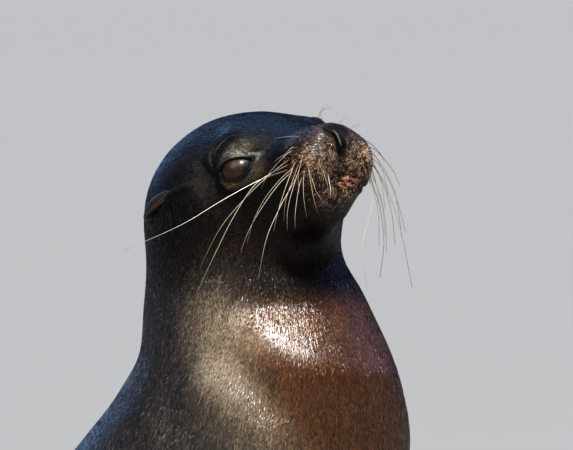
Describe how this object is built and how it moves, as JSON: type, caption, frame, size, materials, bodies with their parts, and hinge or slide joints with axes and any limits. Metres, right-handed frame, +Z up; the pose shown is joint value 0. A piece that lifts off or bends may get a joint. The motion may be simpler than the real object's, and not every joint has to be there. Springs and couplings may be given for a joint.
{
  "type": "sea lion",
  "caption": "Life-size still model of a sea lion sitting upright on its foreflippers, with the chest raised, the neck stretched up and the nose lifted.",
  "frame": {"origin": "on the floor, under the middle of the animal's bounding box", "axes": "+X where the chest faces, +Y to the animal's left, +Z up"},
  "size_m": [1.0624, 0.8912, 0.9177],
  "materials": {
    "crown": "short wet fur, dark slate grey, glossy",
    "muzzle": "very short damp fur, mottled grey brown",
    "nose": "bare, damp, finely pebbled",
    "neck": "short wet fur, dark brown grey, glossy",
    "chest": "short wet fur, chestnut brown, glossy",
    "back": "short wet fur, dark grey brown, glossy",
    "flipper": "bare black skin, finely wrinkled",
    "eye": "wet, glossy, dark red brown",
    "claw": "horn, satin"
  },
  "bodies": {
    "root": {"head": "crown", "muzzle": "muzzle", "nose": "nose", "lower_jaw": "muzzle", "eye_left": "eye", "eye_right": "eye", "ear_left": "crown", "ear_right": "crown", "neck": "neck", "chest": "chest", "belly": "back", "rump": "back", "tail": "back", "forearm_left": "back", "forearm_right": "back", "foreflipper_left": "flipper", "foreflipper_right": "flipper", "hind_leg_left": "back", "hind_leg_right": "back", "hind_flipper_left": "flipper", "hind_flipper_right": "flipper", "hind_claw_2_left": "claw", "hind_claw_2_right": "claw", "hind_claw_3_left": "claw", "hind_claw_3_right": "claw", "hind_claw_4_left": "claw", "hind_claw_4_right": "claw"}
  },
  "joints": []
}
